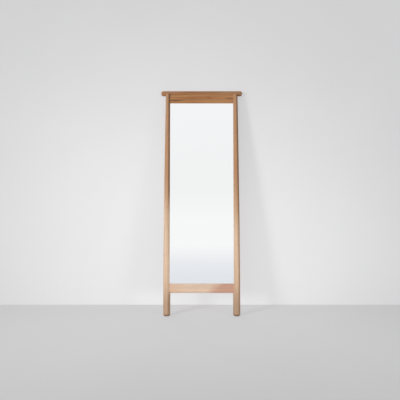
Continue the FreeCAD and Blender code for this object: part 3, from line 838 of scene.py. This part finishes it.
class MIRROR_OT_posts(bpy.types.Operator):
    """Turns the two posts: round leg, tapering outer side, inner flat, rebate, scoop and level foot"""
    bl_idname = "floor_mirror.posts"
    bl_label = "Posts"

    def execute(self, context):
        sizes, layout, finishes = drawing(context)
        right = self.right_post(sizes, layout)
        left = mirrored_copy(right, "turned_post_left")
        finish_piece(right, "right_post", post_material("Right post oak", 1, layout, finishes))
        finish_piece(left, "left_post", post_material("Left post oak", -1, layout, finishes))
        return {"FINISHED"}

    def right_post(self, sizes, layout):
        leg_x, radius, top = layout.leg_x, layout.leg_radius, layout.post_top
        post = round_blank("turned_post_right", radius, (leg_x, 0, -SPARE), (leg_x, 0, top), sides=88)
        self.taper(post, sizes, layout)
        with editing(post):
            ease(post, sizes.edge_ease, lambda edge: lies_on(edge, 2, top))
        past = radius + SPARE
        cut(post, box_blank("flat", (0, -past, layout.lower_rail_bottom), (layout.sight_x, past, top + SPARE)))
        with editing(post):
            ease(post, sizes.arris, lambda edge: lies_on(edge, 0, layout.sight_x) and runs_along(edge, 2)
                 and abs(edge.verts[0].co.y) > 0.5 * radius)
        cut(post, box_blank("rebate", (0, layout.plate_y, layout.rebate_bottom),
                            (layout.rebate_x, past, layout.rebate_top)))
        for edge in (layout.sight_top, layout.lower_rail_bottom):
            low, high = layout.tenon_heights(edge)
            cut(post, box_blank("mortise", (0, layout.tenon_y[0], low),
                                (layout.tenon_reach + 0.001, layout.tenon_y[1], high)))
        cut(post, round_blank("scoop", layout.bar_radius + 2 * FIT, layout.bar_axis,
                              layout.bar_axis + ACROSS * 0.5, sides=96))
        lean_back(post, layout)
        self.level_foot(post, sizes, layout)
        self.drill_buffer_hole(post, sizes, layout)
        with editing(post):
            bpy.ops.mesh.select_all(action="SELECT")
            bpy.ops.mesh.fill_holes(sides=4)
        face_outwards(post)
        return post

    def taper(self, post, sizes, layout):
        """Narrows the outer half a little more at each height."""
        steps = 14
        heights = [sizes.taper_start + (layout.post_top - sizes.taper_start) * step / steps
                   for step in range(steps + 1)]
        with editing(post):
            for height in heights[:-1]:
                bpy.ops.mesh.select_all(action="SELECT")
                bpy.ops.mesh.bisect(plane_co=(0, 0, height), plane_no=UP, threshold=1e-6)
            for height in heights[1:]:
                pick(post, "verts", lambda vert: abs(vert.co.z - height) < CLOSE
                     and vert.co.x > layout.leg_x + CLOSE)
                share = layout.post_reach(height, sizes) / layout.leg_radius
                bpy.ops.transform.resize(value=(share, 1, 1), center_override=(layout.leg_x, 0, height))

    def level_foot(self, post, sizes, layout):
        plane_off(post, (0, 0, layout.foot_z), -UP)
        with editing(post):
            ease(post, sizes.foot_round, lambda edge: lies_on(edge, 2, layout.foot_z), segments=7)

    def drill_buffer_hole(self, post, sizes, layout):
        seat = Vector((layout.leg_x, layout.buffer_seat_y - layout.footprint_middle, layout.buffer_z))
        for radius, depth, reach, sides in ((sizes.buffer_diameter / 2 + FIT, 0, 0.05, 48),
                                            (STEM_RADIUS + FIT, STEM_LENGTH + FIT, 0.01, 24)):
            cut(post, round_blank("hole", radius, seat - BACKWARDS * depth, seat + BACKWARDS * reach, sides))


class MIRROR_OT_top_bar(bpy.types.Operator):
    """Turns the round bar that lies in the posts' scoops, with domed ends"""
    bl_idname = "floor_mirror.top_bar"
    bl_label = "Top bar"

    def execute(self, context):
        sizes, layout, finishes = drawing(context)
        half = ACROSS * layout.bar_x
        bar = round_blank("round_bar", layout.bar_radius, layout.bar_axis - half, layout.bar_axis + half, sides=96)
        with editing(bar):
            ease(bar, sizes.bar_end_round, lambda edge: lies_on(edge, 0, layout.bar_x)
                 or lies_on(edge, 0, -layout.bar_x), segments=10)
        lean_back(bar, layout)
        finish_piece(bar, "top_bar", bar_material(layout, finishes))
        return {"FINISHED"}


class MIRROR_OT_rails(bpy.types.Operator):
    """Planes the header rail and the lower rail: bevelled lower front edge, rebate, tenons and eased arrises"""
    bl_idname = "floor_mirror.rails"
    bl_label = "Rails"

    def execute(self, context):
        sizes, layout, finishes = drawing(context)
        header = self.rail("header_board", sizes, layout, layout.sight_top, layout.header_top)
        cut(header, self.rebate_tool(layout, layout.sight_top - 0.01, layout.rebate_top))
        along = ACROSS * (layout.sight_x + 0.05)
        cut(header, round_blank("cope", layout.bar_radius + 2 * FIT, layout.bar_axis - along,
                                layout.bar_axis + along, sides=96))
        lower = self.rail("lower_board", sizes, layout, layout.lower_rail_bottom, layout.lower_rail_top)
        cut(lower, self.rebate_tool(layout, layout.rebate_bottom, layout.lower_rail_top + 0.01))
        for piece, bottom, node, material in (
                (header, layout.sight_top, "header_rail", header_material(layout, finishes)),
                (lower, layout.lower_rail_bottom, "lower_rail", lower_rail_material(layout, finishes))):
            self.add_tenons(piece, layout, bottom)
            lean_back(piece, layout)
            finish_piece(piece, node, material)
        return {"FINISHED"}

    def rail(self, name, sizes, layout, bottom, top):
        """A board with the bevel planed along its lower front edge and its front edges eased."""
        rail = box_blank(name, (-layout.sight_x, layout.rail_front_y, bottom),
                         (layout.sight_x, layout.rail_back_y, top))
        bevel_line = Vector((0, layout.rail_front_y, bottom + sizes.bevel_height))
        plane_off(rail, bevel_line, (0, -sizes.bevel_height, -sizes.bevel_depth))
        with editing(rail):
            ease(rail, sizes.edge_ease, lambda edge: runs_along(edge, 0) and lies_on(edge, 2, top)
                 and lies_on(edge, 1, layout.rail_front_y), segments=3)
            ease(rail, sizes.arris, lambda edge: runs_along(edge, 0) and lies_on(edge, 1, layout.rail_front_y)
                 and lies_on(edge, 2, bottom + sizes.bevel_height))
            ease(rail, sizes.arris, lambda edge: runs_along(edge, 0) and lies_on(edge, 2, bottom))
        return rail

    def rebate_tool(self, layout, low, high):
        reach = layout.sight_x + 0.05
        return box_blank("rebate", (-reach, layout.plate_y, low), (reach, layout.rail_back_y + SPARE, high))

    def add_tenons(self, rail, layout, bottom):
        low, high = layout.tenon_heights(bottom)
        tenon = box_blank("tenon", (-layout.tenon_reach, layout.tenon_y[0], low),
                          (layout.tenon_reach, layout.tenon_y[1], high))
        with editing(tenon):
            ease(tenon, 0.001, lambda edge: abs(edge.verts[0].co.x - edge.verts[1].co.x) < CLOSE, segments=1)
        combine(rail, tenon, "UNION")


class MIRROR_OT_wall_buffers(bpy.types.Operator):
    """Moulds the rubber buffers behind the posts, with a rounded rim and a dished face"""
    bl_idname = "floor_mirror.wall_buffers"
    bl_label = "Wall buffers"

    def execute(self, context):
        sizes, layout, finishes = drawing(context)
        right = self.buffer(sizes, layout)
        left = mirrored_copy(right, "moulded_buffer_left")
        material = rubber_material(finishes)
        finish_piece(right, "right_wall_buffer", material)
        finish_piece(left, "left_wall_buffer", material)
        return {"FINISHED"}

    def buffer(self, sizes, layout):
        seat_y, wall_y = layout.buffer_seat_y, layout.wall_y
        radius = sizes.buffer_diameter / 2
        piece = round_blank("moulded_buffer_right", radius, (layout.leg_x, seat_y, layout.buffer_z),
                            (layout.leg_x, wall_y, layout.buffer_z), sides=48)
        with editing(piece):
            # rounded rim, then a shallow dish in the face that meets the wall
            ease(piece, 0.0015, lambda edge: lies_on(edge, 1, wall_y), segments=5)
            pick(piece, "faces", lambda face: lies_on(face, 1, wall_y) and face.calc_area() > radius ** 2)
            for thickness, depth in ((0.0022, 0), (0.0007, -0.0008), (0.0012, 0)):
                bpy.ops.mesh.inset(thickness=thickness, depth=depth)
            # the moulded-in screw's rubber neck, inside the post
            pick(piece, "faces", lambda face: lies_on(face, 1, seat_y))
            bpy.ops.mesh.inset(thickness=radius - STEM_RADIUS, depth=0)
            bpy.ops.mesh.extrude_region_move(TRANSFORM_OT_translate={"value": (0, -STEM_LENGTH, 0)})
        # drawn standing, with y zero on the legs' axes at the floor
        piece.location = (0, -layout.footprint_middle, 0)
        return place_in_mesh(piece)


class MIRROR_OT_mirror_plate(bpy.types.Operator):
    """Gives the mirror plate its silvered front, polished edge and painted back"""
    bl_idname = "floor_mirror.mirror_plate"
    bl_label = "Mirror plate"

    def execute(self, context):
        _, layout, finishes = drawing(context)
        dress(mirror_material(layout, finishes), "mirror_plate")
        return {"FINISHED"}


class MIRROR_OT_backing(bpy.types.Operator):
    """Finishes the backing board, the glazing beads and the setting blocks"""
    bl_idname = "floor_mirror.backing"
    bl_label = "Backing board and beads"

    def execute(self, context):
        _, layout, finishes = drawing(context)
        dress(hardboard_material(finishes), "backing_board")
        dress(bead_material("Side bead oak", True, layout, finishes), "left_bead", "right_bead")
        dress(bead_material("End bead oak", False, layout, finishes), "top_bead", "bottom_bead")
        dress(rubber_material(finishes), "setting_blocks", "left_foot_pad", "right_foot_pad")
        return {"FINISHED"}


class MIRROR_OT_fixings(bpy.types.Operator):
    """Finishes the dowels, the screws and the strap hangers with their rings"""
    bl_idname = "floor_mirror.fixings"
    bl_label = "Dowels, screws and hangers"

    def execute(self, context):
        finishes = context.scene.floor_mirror_finishes
        dress(dowel_material(finishes), "bar_dowels", "header_dowels")
        dress(steel_material(finishes), "bead_screws", "foot_pad_screws", "hanger_screws", "left_hanger_strap",
              "right_hanger_strap", "left_hanger_ring", "right_hanger_ring")
        return {"FINISHED"}


class MIRROR_PT_panel(bpy.types.Panel):
    """Lists the steps in the 3D view's sidebar"""
    bl_idname = "MIRROR_PT_panel"
    bl_label = "Leaning floor mirror"
    bl_space_type = "VIEW_3D"
    bl_region_type = "UI"
    bl_category = "Floor mirror"

    def draw(self, context):
        for step in STEPS:
            self.layout.operator(step.bl_idname)
        for group in (context.scene.floor_mirror_sizes, context.scene.floor_mirror_finishes):
            column = self.layout.column()
            for key in group.__annotations__:
                column.prop(group, key)


STEPS = (MIRROR_OT_stage, MIRROR_OT_posts, MIRROR_OT_top_bar, MIRROR_OT_rails, MIRROR_OT_wall_buffers,
         MIRROR_OT_mirror_plate, MIRROR_OT_backing, MIRROR_OT_fixings)
CLASSES = (FloorMirrorSizes, FloorMirrorFinishes, *STEPS, MIRROR_PT_panel)


def register():
    for item in CLASSES:
        bpy.utils.register_class(item)
    bpy.types.Scene.floor_mirror_sizes = PointerProperty(type=FloorMirrorSizes)
    bpy.types.Scene.floor_mirror_finishes = PointerProperty(type=FloorMirrorFinishes)


def unregister():
    del bpy.types.Scene.floor_mirror_finishes
    del bpy.types.Scene.floor_mirror_sizes
    for item in reversed(CLASSES):
        bpy.utils.unregister_class(item)


def main():
    register()
    bpy.ops.floor_mirror.stage()
    bpy.ops.floor_mirror.posts()
    bpy.ops.floor_mirror.top_bar()
    bpy.ops.floor_mirror.rails()
    bpy.ops.floor_mirror.wall_buffers()
    bpy.ops.floor_mirror.mirror_plate()
    bpy.ops.floor_mirror.backing()
    bpy.ops.floor_mirror.fixings()


if __name__ == "__main__":
    main()
